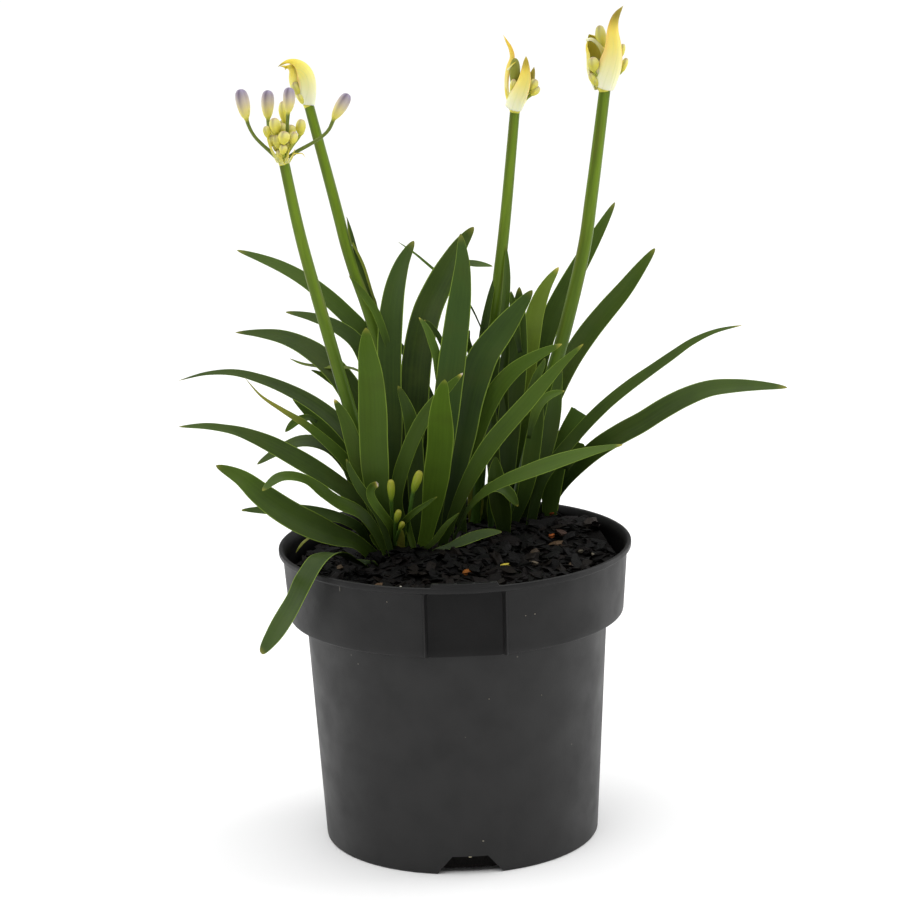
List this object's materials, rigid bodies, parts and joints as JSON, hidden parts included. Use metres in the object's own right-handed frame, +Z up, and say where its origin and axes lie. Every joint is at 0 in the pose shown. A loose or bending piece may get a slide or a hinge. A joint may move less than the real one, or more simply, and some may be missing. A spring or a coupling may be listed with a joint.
{
  "type": "potted agapanthus",
  "caption": "Potted agapanthus: a clump of arching strap leaves and upright flower stems in bud, growing from compost in a plain tapered nursery pot.",
  "frame": {"origin": "centre of the pot's base, on the surface that the pot stands on", "axes": "+Z up, the way the flower stems grow; -Y towards the front of the plant, where the pot has its label panel; +X to the right seen from the front"},
  "size_m": [0.244, 0.1564, 0.3277],
  "materials": {
    "pot_plastic": "matt moulded polypropylene",
    "compost": "moist bark compost",
    "leaf": "satin leaf cuticle, dark green",
    "leaf_light": "satin leaf cuticle, fresh green",
    "stem": "smooth waxy stem",
    "spathe": "thin papery bract",
    "bud_lavender": "soft waxy petals, closed",
    "bud_green": "soft waxy petals, closed"
  },
  "bodies": {
    "root": {"bud_left_back": "bud_lavender", "bud_left_front": "bud_lavender", "bud_left_outer": "bud_lavender", "bud_left_right": "bud_lavender", "buds_back_left": "bud_green", "buds_centre": "bud_green", "buds_right": "bud_green", "leaf_back_left_high": "leaf", "leaf_back_left_mid": "leaf", "leaf_back_right_tall": "leaf", "leaf_back_upright": "leaf", "leaf_centre_pale_tip": "leaf", "leaf_front_centre": "leaf_light", "leaf_front_left_broad": "leaf_light", "leaf_front_pink_tip": "leaf", "leaf_front_right_long": "leaf_light", "leaf_front_right_low": "leaf_light", "leaf_front_short": "leaf", "leaf_front_sliver": "leaf", "leaf_front_small": "leaf", "leaf_front_tongue": "leaf_light", "leaf_left_arch_high": "leaf", "leaf_left_arch_low": "leaf", "leaf_left_broad": "leaf", "leaf_left_hidden": "leaf", "leaf_left_inner": "leaf", "leaf_left_low_tip": "leaf", "leaf_left_pale": "leaf_light", "leaf_left_small_arch": "leaf", "leaf_left_under": "leaf", "leaf_olive_tip": "leaf", "leaf_right_arch": "leaf", "leaf_right_bent": "leaf", "leaf_right_folded": "leaf", "leaf_right_front_upright": "leaf", "leaf_right_inner": "leaf", "leaf_right_lance": "leaf", "leaf_right_shadow": "leaf", "leaf_right_short": "leaf_light", "leaf_right_slender": "leaf", "leaf_right_tall": "leaf", "leaf_rim_drape": "leaf", "leaf_tall_centre": "leaf", "leaf_tall_dark": "leaf", "leaf_tall_left": "leaf", "pot": "pot_plastic", "potting_mix": "compost", "small_buds_left": "bud_green", "spathe_back_left": "spathe", "spathe_centre_front": "spathe", "spathe_centre_left": "spathe", "spathe_left_remnant": "spathe", "spathe_right_folded": "spathe", "spathe_right_tall": "spathe", "stem_back_left": "stem", "stem_centre": "stem", "stem_left": "stem", "stem_right": "stem", "young_bud_left": "bud_green", "young_bud_right": "bud_green"}
  },
  "joints": []
}
